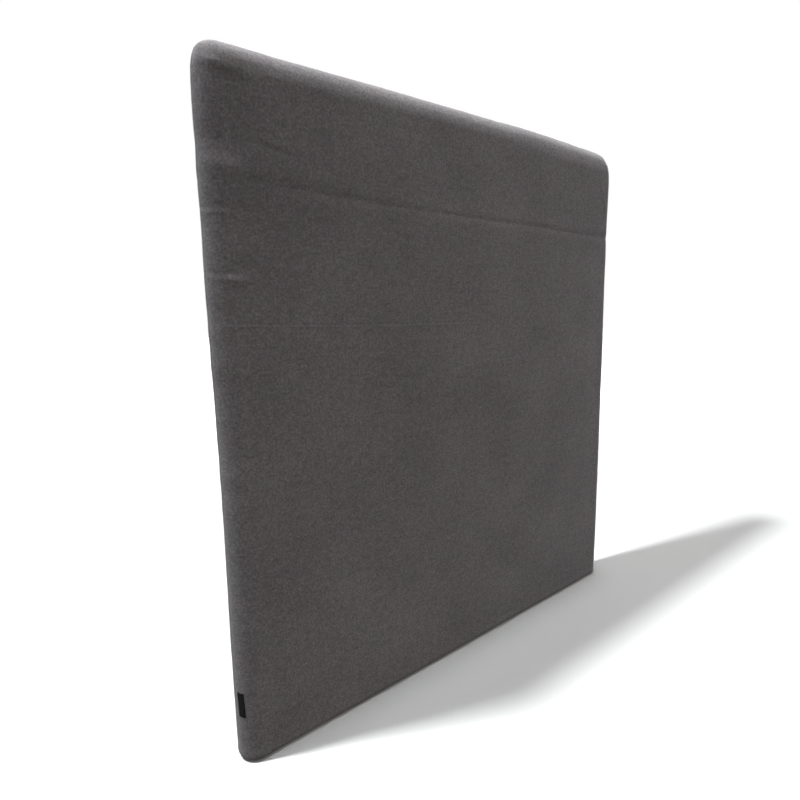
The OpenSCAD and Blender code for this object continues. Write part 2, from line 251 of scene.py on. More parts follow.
def back_field(u, v):
    """Outward offset of the cloth behind, which meets the front cloth at the seam."""
    ds = seam_distance(u, v)
    d = 0.42 * noise(u / 260 + 7.3, v / 240 + 4.2, 41) + 0.16 * noise(u / 80, v / 74, 42)
    left, right = np.exp(-((u + U1) / 95) ** 2), np.exp(-((u - U1) / 95) ** 2)
    d = d + 0.5 * left * noise(u / 90, v / 38, 43) + 0.5 * right * noise(u / 90, v / 35, 44)
    d = d + 0.5 * noise(u / 48, v / 80, 45) * smooth(1395, 1480, v)
    m = np.interp(u, [-724, -600, -420, 0, 360, 724], [0.9, 1.0, 0.45, 0.2, 0.6, 0.8])
    d = d + m * groove(v - ruck_z(u) + 0.9 * noise(u / 41, 0.5, 46), 6.0, 0.95, 0.3)
    m = np.interp(u, [-724, -300, 100, 724], [0.4, 0.9, 0.7, 0.4])
    d = d + m * tuck(v - fold_z(u), 2.6, 0.12)
    # the topstitching above the zip draws the cloth in
    run = (1 - smooth(ZIP_X + 3, ZIP_X + 9, np.abs(u))) * smooth(0, 60, ds)
    d = d + run * (-0.55 * bell(v - ZZ - 9, 1.5) + 0.25 * bell(v - ZZ - 14, 4) * (1 + noise(u / 9, 0.5, 47)))
    return edge_turns(u, v, ds, d, crown(u, v, smooth(70, 260, v)))


def hem_field(u, v):
    ds = seam_distance(u, v)
    d = 0.35 * noise(u / 120, v / 60, 51) * smooth(2, 20, v)
    run = (1 - smooth(ZIP_X + 3, ZIP_X + 9, np.abs(u))) * smooth(0, 60, ds)
    d = d + run * (-0.55 * bell(v - ZZ + 9, 1.5) + 0.22 * bell(v - ZZ + 14, 4) * (1 + noise(u / 9, 0.5, 52)))
    return edge_turns(u, v, ds, d, 0.0)


def joined(field, u, v):
    """field, taken over by the front's own offsets towards the side and top seams, so that both cloths meet."""
    k = 1 - smooth(0, 48, seam_distance(u, v))
    return field(u, v) * (1 - k) + front_field(u, v) * k


# ------------------------------------------------------------------ mesh making
def new_object(name, verts, faces, cloth=None, smooth_shade=True):
    """A mesh object from points in millimetres; cloth holds each point's place on the flat cut."""
    mesh = bpy.data.meshes.new(name)
    verts = np.asarray(verts, float).reshape(-1, 3) * MM
    mesh.from_pydata(verts.tolist(), [], [tuple(int(i) for i in f) for f in faces])
    if cloth is not None:
        at = mesh.attributes.new("cloth", "FLOAT_VECTOR", "POINT")
        at.data.foreach_set("vector", (np.asarray(cloth, np.float32).reshape(-1, 3) * MM).astype(np.float32).ravel())
    if smooth_shade:
        mesh.polygons.foreach_set("use_smooth", [True] * len(mesh.polygons))
    mesh.update()
    ob = bpy.data.objects.new(name, mesh)
    bpy.context.scene.collection.objects.link(ob)
    return ob


def add_float(ob, name, values):
    at = ob.data.attributes.new(name, "FLOAT", "POINT")
    at.data.foreach_set("value", np.asarray(values, np.float32).ravel())


def grid_faces(rows, cols, flip=False, start=0):
    i = np.arange(rows * cols).reshape(rows, cols) + start
    q = np.stack([i[:-1, :-1], i[:-1, 1:], i[1:, 1:], i[1:, :-1]], -1).reshape(-1, 4)
    return q[:, ::-1] if flip else q


def flat_coords(u, v):
    u, v = np.broadcast_arrays(u, v)
    return np.stack([u, v, np.zeros_like(u)], -1)


def put(points, field_values, normals):
    return sagged(points + normals * field_values[..., None])


COLS = ladder(-U1, (-U1 + 5, 0.9), (-XC - RI, 2.8), (-560, 3.6), (-300, 6.5), (480, 9.5), (620, 6.0), (XC + RI, 3.6), (U1 - 5, 2.8), (U1, 0.9))


def follow(v, u):
    """Moves the dense rows on to the creases, so that these stay sharp along their whole run."""
    a = (ruck_z(u) - RUCK_V) * (1 - smooth(24, 92, np.abs(v - RUCK_V)))
    b = (fold_z(u) - FOLD_V) * (1 - smooth(14, 84, np.abs(v - FOLD_V)))
    return v + a + b


def nap_of(u, v, seed):
    """Tone of the felt's pile: small, slow changes, lighter within about 26 mm of the side and top seams."""
    ds = seam_distance(u, v)
    n = 0.5 * noise(u / 190 + 2.2, v / 160 + 0.4, seed) + 0.3 * noise(u / 55, v / 48, seed + 1)
    return n + 0.25 * bell(ds, 26)


# ------------------------------------------------------------------ front cloth
rows = ladder(
    V0 - 1.1, (V0 + 2, 0.5), (ER, 1.5), (60, 6), (250, 7.5), (FOLD_V - 30, 8.5), (FOLD_V - 9, 4), (FOLD_V + 9, 1.0), (FOLD_V + 30, 4), (1050, 7.5),
    (1082, 1.5), (1170, 7), (1196, 1.5), (RUCK_V - 14, 4), (RUCK_V + 20, 0.95), (1334, 3.0), (1420, 5.5), (1452, 3.2), (V1 - 5, 2.6), (V1, 0.9),
)
uu, vv = np.meshgrid(COLS, rows)
vv = follow(vv, uu)
p, n = cover(uu, vv, -1)
front = new_object("front_cloth", put(p, front_field(uu, vv), n), grid_faces(len(rows), len(COLS)), flat_coords(uu, vv))
# Front cloth tone: the pile's own tone, plus painted shade and painted highlights. It is painted darker under the
# top-left corner and roll, along the ruck and along the short crease at 1086 mm, and broadly over the upper and middle
# left. It is painted lighter towards the right, along the left edge and on the swelling below the corner, and darker
# low along the left edge.
nap_and_shade = nap_of(uu, vv, 61)
nap_and_shade = nap_and_shade - 0.95 * bell(uu + 622, 62) * bell(vv - 1352, 52) - 0.35 * bell(uu + 655, 60) * bell(vv - 1440 + 0.2 * (uu + 655), 9) + 0.35 * bell(uu + 664, 40) * bell(vv - 1287, 17)
nap_and_shade = nap_and_shade + 0.36 * np.clip(uu / 700, -1, 1) * np.where(uu < 0, smooth(150, 700, vv), 1.0) - 0.45 * bell(uu + 620, 200) * bell(vv - 930, 230) - 0.35 * bell(uu + 500, 180) * bell(vv - 1140, 120)
nap_and_shade = nap_and_shade - 0.95 * bell(uu + 560, 250) * bell(vv - 1330, 200) * (1 - smooth(1425, 1470, vv)) + 0.42 * bell(uu + 700, 55) * smooth(250, 700, vv) - 0.4 * bell(uu + 690, 70) * (1 - smooth(150, 420, vv))
nap_and_shade = nap_and_shade - 0.4 * bell(uu + 640, 60) * bell(vv - 1086, 15) - 0.35 * bell(uu + 480, 170) * bell(vv - 1252, 14)
add_float(front, "nap_and_shade", nap_and_shade)

# ------------------------------------------------------------------ back cloth, from the fold over the zip upwards
LIP = [(-1.42, 6.5), (-1.42, 4.0), (-1.42, 2.0), (-1.42, 0.72), (-1.32, 0.33), (-1.05, 0.07), (-0.71, 0.0), (-0.36, 0.08), (-0.1, 0.34), (0.0, 0.75)]


def edge_height(u, side):
    """The folded edge beside the zip: 4.7 mm from its middle, closing to a seam beyond its ends."""
    return ZZ + side * 4.7 * (1 - smooth(ZIP_X + 2.0, ZIP_X + 6.0, np.abs(u)))


def folded(name, field, v_rows, side, flip, seed):
    """A cloth behind, whose edge by the zip is turned in; v_rows run from the fold away from it."""
    edge = edge_height(BCOLS, side)[None, :]
    uu = np.broadcast_to(BCOLS, (len(v_rows), len(BCOLS)))
    away = (v_rows - (ZZ + side * 4.7))[:, None] * side
    vv = v_rows[:, None] + (edge - (ZZ + side * 4.7)) * (1 - smooth(0, 44, away))
    if side > 0:
        vv = follow(vv, uu)
    p, n = cover(uu, vv, 1)
    body = put(p, joined(field, uu, vv), n)
    lips, lip_c = [], []
    for depth, h in LIP[:-1]:
        lv = edge + side * h
        p, n = cover(BCOLS[None, :], lv, 1)
        ds = seam_distance(BCOLS[None, :], lv)
        lips.append(p + n * (joined(field, BCOLS[None, :], np.broadcast_to(edge + side * 0.9, lv.shape)) * 0.6 + depth * smooth(0, 3, ds))[..., None])
        lip_c.append(flat_coords(BCOLS[None, :], lv - side * 3))
    pts = np.concatenate(lips + [body])
    uv = np.concatenate(lip_c + [flat_coords(uu, vv)])
    ob = new_object(name, pts, grid_faces(pts.shape[0], pts.shape[1], flip), uv + np.array([4310.0, 2170.0 * side, 0.0]))  # cut from another stretch of the bolt
    add_float(ob, "nap_and_shade", nap_of(uv[..., 0], uv[..., 1], seed))
    return ob


BCOLS = ladder(-U1, (-U1 + 5, 0.9), (-XC - RI, 3.2), (-ZIP_X - 9, 5), (-ZIP_X + 3, 0.9), (-560, 5), (560, 7.5), (ZIP_X - 3, 5), (ZIP_X + 9, 0.9), (XC + RI, 5), (U1 - 5, 3.2), (U1, 0.9))
rows = ladder(
    ZZ + 4.7 + 0.75, (ZZ + 7, 0.6), (ZZ + 12, 0.6), (ZZ + 22, 2), (250, 9), (FOLD_V - 30, 10), (FOLD_V - 8, 4.5), (FOLD_V + 8, 1.1), (FOLD_V + 30, 4.5),
    (RUCK_V - 40, 10), (RUCK_V - 13, 4.5), (RUCK_V + 17, 1.1), (1280, 4.5), (1420, 8), (1452, 4), (V1 - 5, 2.8), (V1, 0.9),
)
back = folded("back_cloth", back_field, rows, 1, True, 71)
rows = -ladder(-(ZZ - 4.7 - 0.75), (-(ZZ - 7), 0.6), (-(ZZ - 12), 0.6), (-(ZZ - 20), 2), (-ER, 3.5), (-(V0 + 2), 1.5), (-(V0 - 1.1), 0.5))
hem = folded("rear_hem_cloth", hem_field, rows, -1, False, 75)

# ------------------------------------------------------------------ base cloth with its two holes
RB = R - ER - 0.9
K = 16
tan_rows = RB * np.tan(np.linspace(-math.pi / 4, math.pi / 4, K + 1))
verts, faces, place = [], [], []


def add_patch(pts):
    rows, cols = pts.shape[:2]
    start = sum(len(v) for v in verts)
    verts.append(pts.reshape(-1, 3))
    place.append(pts.reshape(-1, 3))
    faces.extend(grid_faces(rows, cols, True, start).tolist())


def strip(x0, x1):
    xs = ladder(x0, (x1, 9.0))
    gx, gy = np.meshgrid(xs, tan_rows)
    add_patch(np.stack([gx, gy, np.zeros_like(gx)], -1))


HOLE = 9.7
strip(-XS, -XF - RB)
strip(-XF + RB, XF - RB)
strip(XF + RB, XS)
for s in (-1, 1):
    ang = np.linspace(-math.pi, math.pi, 8 * (K // 2) + 1)
    ca, sa = np.cos(ang), np.sin(ang)
    edge = RB / np.maximum(np.abs(ca), np.abs(sa))
    t = np.linspace(0, 1, 9)[:, None] ** 1.3
    rad = HOLE * (1 - t) + edge[None, :] * t
    pts = np.stack([s * XF + rad * ca, rad * sa, np.zeros_like(rad)], -1)
    add_patch(pts[::-1])
    reach = np.sqrt(np.maximum(RB**2 - tan_rows**2, 0.0))
    t = np.linspace(0, 1, 7)[None, :]
    gx = s * (XS + reach[:, None] * t)
    gy = np.broadcast_to(tan_rows[:, None], gx.shape)
    pts = np.stack([gx, gy, np.zeros_like(gx)], -1)
    add_patch(pts if s > 0 else pts[:, ::-1])
bv = np.concatenate(verts)
inset = np.minimum(RB - np.abs(bv[:, 1]), RB - np.hypot(np.maximum(np.abs(bv[:, 0]) - XS, 0), bv[:, 1]))
hole_r = np.hypot(np.abs(bv[:, 0]) - XF, bv[:, 1])
bv[:, 2] = 0.3 + 0.3 * (1 + noise(bv[:, 0] / 60, bv[:, 1] / 22, 81)) * smooth(0, 10, inset) * smooth(11, 22, hole_r) + 1.0 * bell(inset, 1.6) + 0.25 * bell(inset - 5, 1.0)
base = new_object("base_cloth", bv, faces, np.concatenate(place))
bm = bmesh.new()
bm.from_mesh(base.data)
bmesh.ops.remove_doubles(bm, verts=bm.verts, dist=2e-5)
bmesh.ops.dissolve_degenerate(bm, edges=bm.edges, dist=1e-6)
bm.to_mesh(base.data)
bm.free()
base.data.polygons.foreach_set("use_smooth", [True] * len(base.data.polygons))

# ------------------------------------------------------------------ woven label: a folded loop sewn on beside the left seam
LB_LO, LB_HI = node_box("side_label")
lz = np.linspace(LB_LO[2], LB_HI[2], 49)
LS, LW = 8.5, 17.3  # its rear edge, round the side from the seam, and its width
ls = np.concatenate([np.linspace(0, 3, 7), np.linspace(3.6, LW, 26)])


def label_layer(s, z, off):
    """Points of the label at arc s forward of the seam and height z, off above the cloth."""
    a = s / R
    rad = R + front_field(-(U1 - s), z) + off
    return np.stack([-XS - rad * np.cos(a), -rad * np.sin(a), z], -1)


gs, gz = np.meshgrid(ls, lz)
lean = -(gz - lz.mean()) * 0.03
rise = smooth(0, 4.0, gs)
lift = rise * (0.7 * smooth(6, LW, gs) * (0.55 + 0.45 * np.cos((gz - lz.mean()) / 58 * math.pi)) + 0.12 * noise(gs / 9, gz / 13, 91))
outer = label_layer(LS + gs + lean, gz, 0.42 + 0.45 * rise + lift)
inner = label_layer((LS + gs + lean)[:, ::-1], gz, (0.14 + 0.12 * rise + 0.8 * lift)[:, ::-1])
nose = []
for k in range(1, 6):
    t = math.pi * k / 6
    c = (outer[:, -1] + inner[:, 0]) / 2
    half = (outer[:, -1] - inner[:, 0]) / 2
    a = (LS + LW) / R
    fwd = np.broadcast_to([math.sin(a), -math.cos(a), 0.0], c.shape)
    nose.append(c + half * math.cos(t) + fwd * np.linalg.norm(half, axis=1)[:, None] * math.sin(t))
strip_pts = np.concatenate([outer, np.stack(nose, 1), inner], axis=1)
flat_s = np.concatenate([ls, LW + np.linspace(0.2, 1.0, 5), LW + 1.2 + ls])
label = new_object("side_label_loop", strip_pts, grid_faces(len(lz), strip_pts.shape[1], False), flat_coords(flat_s[None, :], lz[:, None]))


# ------------------------------------------------------------------ stitches
def stitch_run(points, along, out, length, radius, sink, sides=6):
    """One small closed thread bar per point, lying along its direction with the ends drawn in."""
    points, along, out = (np.asarray(x, float) for x in (points, along, out))
    side = np.cross(along, out)
    ts = np.array([-1, -0.9, -0.55, 0, 0.55, 0.9, 1])
    prof = np.array([0.35, 0.75, 1, 1.05, 1, 0.75, 0.35])
    ang = np.arange(sides) / sides * 2 * math.pi
    ring = []
    for t, pr in zip(ts, prof):
        c = points + along * (t * length / 2) + out * (-sink * t**4)
        ring.append(c[:, None, :] + radius * pr * (np.cos(ang)[None, :, None] * side[:, None, :] + np.sin(ang)[None, :, None] * out[:, None, :]))
    v = np.stack(ring, 1)  # stitch, ring, side, 3
    m = len(points)
    per = len(ts) * sides
    f = []
    for j in range(len(ts) - 1):
        for k in range(sides):
            k2 = (k + 1) % sides
            f.append([j * sides + k, j * sides + k2, (j + 1) * sides + k2, (j + 1) * sides + k])
    f = np.array(f)
    quads = (f[None] + (np.arange(m) * per)[:, None, None]).reshape(-1, 4)
    caps = []
    for o in range(m):
        caps.append([o * per + k for k in reversed(range(sides))])
        caps.append([o * per + (len(ts) - 1) * sides + k for k in range(sides)])
    return v.reshape(-1, 3), quads.tolist() + caps


def stitches(name, runs):
    verts, faces, start = [], [], 0
    for v, f in runs:
        verts.append(v)
        faces.extend([[i + start for i in q] for q in f])
        start += len(v)
    return new_object(name, np.concatenate(verts), faces)


def unit(a):
    return a / np.linalg.norm(a, axis=-1, keepdims=True)


def on_cover(u, v, sy, field):
    p, n = cover(u, v, sy)
    return put(p, field(u, v), n), n


runs = []
for side, field in ((1, back_field), (-1, hem_field)):
    u = np.arange(-ZIP_X - 5, ZIP_X + 5.1, 3.6)
    v = np.full_like(u, ZZ + side * 9.0)
    f = lambda a, b, field=field: joined(field, a, b)
    p, n = on_cover(u, v, 1, f)
    q, _ = on_cover(u + 0.5, v, 1, f)
    runs.append(stitch_run(p + n * 0.16, unit(q - p), n, 2.9, 0.3, 0.42))
for s in (-1, 1):  # bar tacks across both ends of the zip
    v = np.arange(ZZ - 8.2, ZZ + 8.3, 0.75)
    u = np.full_like(v, s * (ZIP_X + 4.6))
    f = lambda a, b: np.where(b > ZZ, joined(back_field, a, b), joined(hem_field, a, b)) * 0.7
    p, n = on_cover(u, v, 1, f)
    slant = np.where(np.arange(len(v)) % 2 == 0, 0.22, -0.22)
    al = unit(np.stack([np.ones_like(v), np.zeros_like(v), slant], -1))
    runs.append(stitch_run(p + n * 0.12, al, n, 2.6, 0.3, 0.35))
topstitch = stitches("zip_topstitching", runs)

# ladder of the edge seam, down in the groove between the two cloths
zs = np.arange(ER + 3, ZC, 4.0)
pts, out = [], []
for s in (-1, 1):
    rs = R - 0.95 + settle(np.full_like(zs, s * U1), zs)
    pts.append(np.stack([s * (XS + rs), np.zeros_like(zs), zs], -1))
    out.append(np.broadcast_to([s, 0.0, 0.0], (len(zs), 3)))
    a = np.arange(0.0, math.pi / 2, 4.0 / (RI + R))
    dirs = np.stack([s * np.cos(a), np.zeros_like(a), np.sin(a)], -1)
    cu = XC + L * np.minimum(1.0, (math.pi / 2 - a) / (math.pi / 4))
    cv = ZC + L * np.minimum(1.0, a / (math.pi / 4))
    pts.append(np.array([s * XC, 0, ZC]) + dirs * (RI + R - 0.95 + settle(s * cu, cv) + crown(s * cu, cv, 1.0))[:, None])
    out.append(dirs)
xs = np.arange(-XC, XC, 4.0)
pts.append(np.stack([xs, np.zeros_like(xs), ZT + R - 0.95 + crown(xs, np.full_like(xs, V1), 1.0)], -1))
out.append(np.broadcast_to([0.0, 0.0, 1.0], (len(xs), 3)))
pts, out = sagged(np.concatenate(pts)), np.concatenate(out)
seam = stitches("edge_seam_stitches", [stitch_run(pts, np.broadcast_to([0.0, 1.0, 0.0], pts.shape), out, 2.3, 0.27, 0.3)])

# the row that holds the label along its rear edge
sz = np.arange(lz[0] + 2.0, lz[-1] - 1.5, 2.9)
shift = LS + 1.5 - (sz - lz.mean()) * 0.03
pts, tip = label_layer(shift, sz, 0.55), label_layer(shift - 0.03, sz + 1.0, 0.55)
out = np.stack([-np.cos(shift / R), -np.sin(shift / R), np.zeros_like(sz)], -1)
label_stitch = stitches("label_stitching", [stitch_run(pts, unit(tip - pts), out, 2.3, 0.2, 0.3)])

# topstitching round the base cloth
rr = RB - 5.0
xs = np.arange(-XS, XS, 4.2)
pts, al = [], []
for s in (-1, 1):
    pts.append(np.stack([xs, np.full_like(xs, s * rr), np.zeros_like(xs)], -1))
    al.append(np.broadcast_to([1.0, 0.0, 0.0], (len(xs), 3)))
    a = np.arange(-math.pi / 2 + 0.09, math.pi / 2, 4.2 / rr)
    pts.append(np.stack([s * (XS + rr * np.cos(a)), rr * np.sin(a), np.zeros_like(a)], -1))
    al.append(np.stack([-s * np.sin(a), np.cos(a), np.zeros_like(a)], -1))
pts, al = np.concatenate(pts), np.concatenate(al)
pts[:, 2] = 0.33
base_stitch = stitches("base_stitching", [stitch_run(pts, al, np.broadcast_to([0.0, 0.0, -1.0], pts.shape), 3.2, 0.28, 0.35)])

# ------------------------------------------------------------------ zip: tapes and coils
tape_y = (t_lo[1] + t_hi[1]) / 2
tx = np.arange(t_lo[0], t_hi[0] + 0.1, 0.7)
tapes = []
for side, nm in ((1, "zip_tape_upper"), (-1, "zip_tape_lower")):
    lo, hi = node_box(nm)
    inner_z, outer_z = (lo[2], hi[2]) if side > 0 else (hi[2], lo[2])
    tz = inner_z + side * np.array([0.0, 0.25, 0.8, 1.6, 2.4, 3.0, 3.8, 4.6, 6, 8, 10, 12, abs(outer_z - inner_z)])
    gx, gz = np.meshgrid(tx, tz)
    rib = 0.07 * np.where(np.arange(len(tx)) % 2 == 0, 1.0, -1.0)[None, :] * (0.6 + 0.4 * noise(gx / 3, gz / 2, 95))
    gy = tape_y + rib + 0.12 * bell(gz - inner_z, 0.5)
    ob = new_object(nm + "_woven", np.stack([gx, gy, gz], -1), grid_faces(len(tz), len(tx), side > 0), np.stack([gx, gz, 0 * gx], -1))
    tapes.append((ob, nm))


def coil(name, node, side, shift):
    """Loops of one nylon filament: out from the tape, over the top, to a swollen head at the middle and back."""
    lo, hi = node_box(node)
    pitch, sides = 1.32, 6
    xs = np.arange(lo[0] + 0.7 + shift, hi[0] - 0.5, pitch)
    inner_z = lo[2] if side > 0 else hi[2]
    ya, yb = lo[1] + 0.25, hi[1] - 0.34
    path = np.array([  # x, y, distance from the middle of the zip
        (-0.28, ya, 2.35), (-0.3, ya + 0.5, 2.42), (-0.26, yb - 0.15, 2.2), (-0.16, yb, 1.6), (0.0, yb, 0.75), (0.04, yb - 0.2, 0.36),
        (0.06, (ya + yb) / 2, 0.3), (0.1, ya + 0.15, 0.45), (0.22, ya, 1.2), (0.34, ya, 2.1),
    ])
    rad = np.array([0.27, 0.28, 0.29, 0.29, 0.3, 0.33, 0.34, 0.3, 0.27, 0.25])
    tan = np.gradient(path, axis=0)
    tan = unit(tan)
    ref = np.array([1.0, 0.0, 0.0])
    s1 = unit(np.cross(tan, ref))
    s2 = np.cross(tan, s1)
    ang = np.arange(sides) / sides * 2 * math.pi
    ring = path[:, None] + rad[:, None, None] * (np.cos(ang)[None, :, None] * s1[:, None] + np.sin(ang)[None, :, None] * s2[:, None])
    ring = ring.reshape(-1, 3)
    ring[:, 2] = np.maximum(ring[:, 2], 0.02)
    m, per = len(xs), len(ring)
    v = np.broadcast_to(ring, (m, per, 3)).copy()
    v[:, :, 0] += xs[:, None]
    v[:, :, 2] = inner_z + side * v[:, :, 2]
    f = []
    for j in range(len(path) - 1):
        for k in range(sides):
            k2 = (k + 1) % sides
            f.append([j * sides + k, j * sides + k2, (j + 1) * sides + k2, (j + 1) * sides + k])
    f = np.array(f)
    if side < 0:
        f = f[:, ::-1]
    quads = (f[None] + (np.arange(m) * per)[:, None, None]).reshape(-1, 4).tolist()
    first, last = list(range(sides)), [(len(path) - 1) * sides + k for k in range(sides)]
    if side > 0:
        first = first[::-1]
    else:
        last = last[::-1]
    caps = [[o * per + k for k in c] for o in range(m) for c in (first, last)]
    return new_object(name, v.reshape(-1, 3), quads + caps)


coil_u = coil("zip_coil_upper_loops", "zip_coil_upper", 1, 0.0)
coil_l = coil("zip_coil_lower_loops", "zip_coil_lower", -1, 0.66)


# ------------------------------------------------------------------ foam under the cloth, shaped as the cover has settled
RF = float(node_box("left_edge_foam")[1][1])  # half-round of the edge foams
ZB = float(node_box("left_edge_foam")[0][2])  # top of the base board


def edge_foam(name, feet, outward, phi):
    """A half-round foam strip along the frame, pressed to the form the cover has settled into."""
    th = np.linspace(0, math.pi, 33)
    inner = np.linspace(1, -1, 9)[1:-1]
    arc_len = RI + R * np.minimum(th, math.pi - th)[None, :]
    side = np.sign(feet[:, 0])[:, None]
    if phi is None:  # straight: along a side or along the top
        top = abs(outward[0, 2]) > 0.5
        u = np.broadcast_to(feet[:, :1], (len(feet), len(th))) if top else side * (XC + arc_len)
        v = ZC + np.broadcast_to(arc_len, (len(feet), len(th))) if top else np.broadcast_to(feet[:, 2:], (len(feet), len(th)))
    else:
        k = phi[:, None] / (math.pi / 4)
        u = side * (XC + arc_len * np.minimum(1.0, 2 - k))
        v = ZC + arc_len * np.minimum(1.0, k)
    rad = RF + settle(u, v) + np.minimum(crown(u, v, 1.0), 0.0) - 0.1 - 0.1 * noise(np.arange(len(feet))[:, None] / 2.3, th[None, :] * 4, 85)
    arc = feet[:, None, :] + outward[:, None, :] * (rad * np.sin(th)[None, :])[..., None]
    arc[..., 1] = -np.minimum(rad, RF) * np.cos(th)[None, :]
    arc = arc + (sagged(arc) - arc) * np.minimum(1.0, 4 * np.sin(th))[None, :, None]
    back_side = np.repeat(feet[:, None, :], len(inner), axis=1)
    back_side[..., 1] = RF * inner[None, :]
    ring = np.concatenate([arc, back_side], axis=1)
    rows, cols = ring.shape[:2]
    i = np.arange(rows * cols).reshape(rows, cols)
    j = np.roll(i, -1, axis=1)
    quads = np.stack([i[:-1], j[:-1], j[1:], i[1:]], -1).reshape(-1, 4).tolist()
    return new_object(name, ring, quads + [i[0][::-1].tolist(), i[-1].tolist()])


def line_of(axis, values, at):
    pts = np.zeros((len(values), 3))
    pts[:, axis] = values
    pts[:, 2 - axis] = at
    return pts


foams = []
zs = ladder(ZB, (ZC, 26.0))
xs = ladder(-XC, (XC, 26.0))
for s, nm in ((-1, "left"), (1, "right")):
    run = zs if s > 0 else zs[::-1]
    foams.append((edge_foam(nm + "_edge_foam_cut", line_of(2, run, s * XS), np.broadcast_to([float(s), 0, 0], (len(run), 3)), None), nm + "_edge_foam"))
    a = np.linspace(0, math.pi / 2, 19) if s > 0 else np.linspace(math.pi / 2, 0, 19)
    dirs = np.stack([s * np.cos(a), np.zeros_like(a), np.sin(a)], -1)
    foams.append((edge_foam(nm + "_corner_foam_cut", np.array([s * XC, 0, ZC]) + dirs * (RI + 0.4), dirs, a), nm + "_corner_foam"))
foams.append((edge_foam("top_edge_foam_cut", line_of(0, xs[::-1], ZT), np.broadcast_to([0, 0, 1.0], (len(xs), 3)), None), "top_edge_foam"))


def foam_pad(name, node_name, sy, recess):
    """A foam slab on one face of the frame: flat against it, swelling outwards, with rounded edges."""
    lo, hi = node_box(node_name)
    y_in = min(abs(lo[1]), abs(hi[1]))
    px = ladder(lo[0], (lo[0] + 8, 1.6), (lo[0] + 40, 8), (hi[0] - 40, 24), (hi[0] - 8, 8), (hi[0], 1.6))
    pz = ladder(lo[2], (lo[2] + 8, 1.6), (ZZ - 18, 8), (ZZ - 14, 1), (ZZ + 14, 7), (ZZ + 18, 1), (hi[2] - 60, 24), (hi[2] - 10, 8), (hi[2], 1.25))
    gx, gz = np.meshgrid(px, pz)
    turn = np.sqrt(np.clip(RI**2 - np.clip(gz - ZC, 0, RI) ** 2, 0.0, None)) / RI
    gx = np.sign(gx) * (np.minimum(np.abs(gx), XC) + np.maximum(np.abs(gx) - XC, 0) * np.maximum(turn, 0.02))
    inset = np.minimum(np.minimum(hi[0] - np.abs(px), 8.0)[None, :], np.minimum(np.minimum(gz - lo[2], hi[2] - gz), 8.0))
    inset = np.minimum(inset, np.where((np.abs(gx) > XC) & (gz > ZC), RI - np.hypot(np.abs(gx) - XC, gz - ZC), 8.0))
    edge = 6.0
    e = np.clip(inset, 0, edge)
    fall = edge - np.sqrt(np.maximum(edge**2 - (edge - e) ** 2, 0.0))
    form = crown(gx, gz, smooth(20, 220, gz))
    swell = 0.7 * np.maximum(form, 0.0) + np.minimum(form, 0.0)
    out = R - 1.7 + swell + 0.1 * noise(gx / 40, gz / 40, 86) - fall
    if recess:
        out = out - 2.9 * (1 - smooth(14.5, 17.5, np.abs(gz - ZZ))) * (1 - smooth(ZIP_X + 8, ZIP_X + 12, np.abs(gx)))
    outer = np.stack([gx, sy * out, gz], -1)
    flat = np.stack([gx, np.full_like(gx, sy * y_in), gz], -1)
    rows, cols = gx.shape
    m = rows * cols
    faces = grid_faces(rows, cols, sy > 0).tolist() + grid_faces(rows, cols, sy < 0, m).tolist()
    i = np.arange(m).reshape(rows, cols)
    rim = np.concatenate([i[0, :-1], i[:-1, -1], i[-1, :0:-1], i[:0:-1, 0]])
    for a, b in zip(rim, np.roll(rim, -1)):
        faces.append([b, a, a + m, b + m] if sy < 0 else [a, b, b + m, a + m])
    return new_object(name, np.concatenate([outer.reshape(-1, 3), flat.reshape(-1, 3)]), faces)


foams.append((foam_pad("front_pad_cut", "front_pad", -1, False), "front_pad"))
foams.append((foam_pad("back_pad_cut", "back_pad", 1, True), "back_pad"))


# ------------------------------------------------------------------ materials
def material(name):
    m = bpy.data.materials.new(name)
    m.use_nodes = True
    nt = m.node_tree
    nt.nodes.clear()
    out = nt.nodes.new("ShaderNodeOutputMaterial")
    sh = nt.nodes.new("ShaderNodeBsdfPrincipled")
    nt.links.new(sh.outputs[0], out.inputs["Surface"])
    return m, nt, sh


def node(nt, kind, links=(), **values):
    """A shader node with its inputs set by name or index, and its properties by name."""
    n = nt.nodes.new(kind)
    for k, v in values.items():
        if hasattr(n, k):
            setattr(n, k, v)
        else:
            n.inputs[k.replace("_", " ")].default_value = v
    for key, source in dict(links).items():
        nt.links.new(source, n.inputs[key])
    return n


def cloth_place(nt):
    return node(nt, "ShaderNodeAttribute", attribute_name="cloth").outputs["Vector"]


def object_place(nt):
    return node(nt, "ShaderNodeTexCoord").outputs["Object"]


def scaled(nt, place, scale, turn=0.0):
    n = node(nt, "ShaderNodeMapping", {"Vector": place})
    n.inputs["Scale"].default_value = scale
    n.inputs["Rotation"].default_value = (0.0, 0.0, turn)
    return n.outputs[0]


def noise_tex(nt, place, scale, detail=3.0, rough=0.55, distortion=0.0):
    n = node(nt, "ShaderNodeTexNoise", {"Vector": place})
    n.inputs["Scale"].default_value = scale
    n.inputs["Detail"].default_value = detail
    n.inputs["Roughness"].default_value = rough
    n.inputs["Distortion"].default_value = distortion
    return n.outputs["Fac"]


def math_node(nt, op, a, b=None, clamp=False):
    n = nt.nodes.new("ShaderNodeMath")
    n.operation = op
    n.use_clamp = clamp
    for i, x in enumerate((a, b)):
        if x is None:
            continue
        if isinstance(x, (int, float)):
            n.inputs[i].default_value = x
        else:
            nt.links.new(x, n.inputs[i])
    return n.outputs[0]


def ramp(nt, fac, stops):
    n = nt.nodes.new("ShaderNodeValToRGB")
    nt.links.new(fac, n.inputs["Fac"])
    el = n.color_ramp.elements
    while len(el) < len(stops):
        el.new(0.5)
    for e, (pos, col) in zip(el, stops):
        e.position = pos
        e.color = (*col, 1.0) if len(col) == 3 else col
    return n.outputs["Color"]


